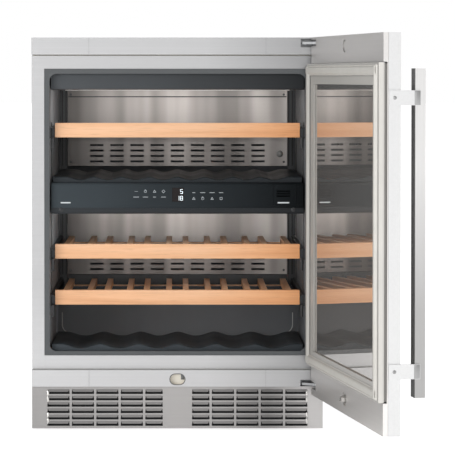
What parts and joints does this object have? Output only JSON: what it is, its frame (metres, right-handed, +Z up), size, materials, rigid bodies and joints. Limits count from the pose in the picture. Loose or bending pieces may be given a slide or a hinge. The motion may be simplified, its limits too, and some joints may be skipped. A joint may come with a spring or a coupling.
{
  "type": "built-under wine cabinet",
  "caption": "Under-counter two-zone wine cooler: stainless front, open glass door with bar handle, sliding beech shelves, touch divider and louvred base.",
  "frame": {"origin": "on the floor, middle of the cabinet, in the plane of the front frame", "axes": "+X to the right as seen from the front, +Y to the rear, +Z up; the door hangs on the right and stands open at rest"},
  "size_m": [0.7458, 1.1394, 0.804],
  "materials": {
    "stainless": "satin",
    "painted_steel": "satin",
    "bright_steel": "polished",
    "foam": "matte",
    "anthracite_plastic": "satin",
    "black_plastic": "satin",
    "grey_plastic": "satin",
    "lamp_lens": "satin",
    "tinted_glass": "gloss",
    "beech": "satin",
    "seal_rubber": "matte",
    "fin_aluminium": "satin"
  },
  "bodies": {
    "cabinet": {"outer_shell": "painted_steel", "rear_panel": "painted_steel", "power_inlet": "black_plastic", "insulation_foam": "foam", "inner_liner": "anthracite_plastic", "front_frame": "stainless", "liner_trim": "grey_plastic", "top_fascia": "stainless", "bottom_fascia": "stainless", "lock_strike": "bright_steel", "base_grille": "stainless", "base_pan": "painted_steel", "compressor": "black_plastic", "condenser": "fin_aluminium", "upper_air_panel": "stainless", "lower_air_panel": "stainless", "upper_evaporator": "fin_aluminium", "lower_evaporator": "fin_aluminium", "rear_duct_frame": "anthracite_plastic", "ceiling_housing": "anthracite_plastic", "light_strip": "lamp_lens", "zone_divider": "anthracite_plastic", "control_panel": "anthracite_plastic", "display_window": "black_plastic", "filter_cover": "anthracite_plastic", "divider_bottle_tray": "anthracite_plastic", "floor_bottle_tray": "anthracite_plastic", "temperature_sensor": "grey_plastic", "left_rail_rack": "black_plastic", "right_rail_rack": "black_plastic", "top_hinge_bracket": "bright_steel", "bottom_hinge_bracket": "bright_steel"},
    "door": {"door_skin": "stainless", "door_back_cover": "stainless", "door_inner_frame": "grey_plastic", "door_gasket": "seal_rubber", "outer_glass_pane": "tinted_glass", "inner_glass_pane": "tinted_glass", "glass_spacer": "black_plastic", "upper_oval_cap": "bright_steel", "lower_lock_plate": "bright_steel", "handle_bar": "stainless", "upper_handle_bracket": "stainless", "lower_handle_bracket": "stainless"},
    "door_lock": {"lock_barrel": "bright_steel"},
    "upper_shelf": {"upper_shelf_carrier": "bright_steel", "upper_shelf_front": "beech", "upper_shelf_deck": "beech"},
    "middle_shelf": {"middle_shelf_carrier": "bright_steel", "middle_shelf_front": "beech", "middle_shelf_deck": "beech"},
    "lower_shelf": {"lower_shelf_carrier": "bright_steel", "lower_shelf_front": "beech", "lower_shelf_deck": "beech"},
    "condenser_fan_wheel": {"condenser_fan": "black_plastic"},
    "upper_fan_wheel": {"upper_zone_fan": "black_plastic"},
    "lower_fan_wheel": {"lower_zone_fan": "black_plastic"},
    "left_levelling_foot": {"left_foot": "black_plastic"},
    "right_levelling_foot": {"right_foot": "black_plastic"},
    "rear_rollers": {"rear_roller_axle": "bright_steel"}
  },
  "joints": [
    {"name": "door_hinge", "type": "hinge", "parent": "cabinet", "child": "door", "pos_m": [0.2875, -0.028, 0.44], "axis": [0, 0, 1], "range_deg": [-99.5, 10]},
    {"name": "lock_turn", "type": "hinge", "parent": "door", "child": "door_lock", "pos_m": [0.33495, -0.31156, 0.104], "axis": [-0.9863, -0.165, 0], "range_deg": [0, 90]},
    {"name": "upper_shelf_slide", "type": "slide", "parent": "cabinet", "child": "upper_shelf", "axis": [0, -1, 0], "range_m": [0, 0.26]},
    {"name": "middle_shelf_slide", "type": "slide", "parent": "cabinet", "child": "middle_shelf", "axis": [0, -1, 0], "range_m": [0, 0.26]},
    {"name": "lower_shelf_slide", "type": "slide", "parent": "cabinet", "child": "lower_shelf", "axis": [0, -1, 0], "range_m": [0, 0.26]},
    {"name": "condenser_fan_spin", "type": "hinge", "parent": "cabinet", "child": "condenser_fan_wheel", "pos_m": [-0.15, 0.425, 0.116], "axis": [0, 1, 0], "continuous": true},
    {"name": "upper_fan_spin", "type": "hinge", "parent": "cabinet", "child": "upper_fan_wheel", "pos_m": [0.06, 0.477, 0.62], "axis": [0, 1, 0], "continuous": true},
    {"name": "lower_fan_spin", "type": "hinge", "parent": "cabinet", "child": "lower_fan_wheel", "pos_m": [0.06, 0.477, 0.378], "axis": [0, 1, 0], "continuous": true},
    {"name": "left_foot_turn", "type": "hinge", "parent": "cabinet", "child": "left_levelling_foot", "pos_m": [-0.255, 0.062, 0.02], "axis": [0, 0, 1], "continuous": true},
    {"name": "right_foot_turn", "type": "hinge", "parent": "cabinet", "child": "right_levelling_foot", "pos_m": [0.255, 0.062, 0.02], "axis": [0, 0, 1], "continuous": true},
    {"name": "rear_roller_spin", "type": "hinge", "parent": "cabinet", "child": "rear_rollers", "pos_m": [0, 0.47, 0.012], "axis": [1, 0, 0], "continuous": true}
  ]
}
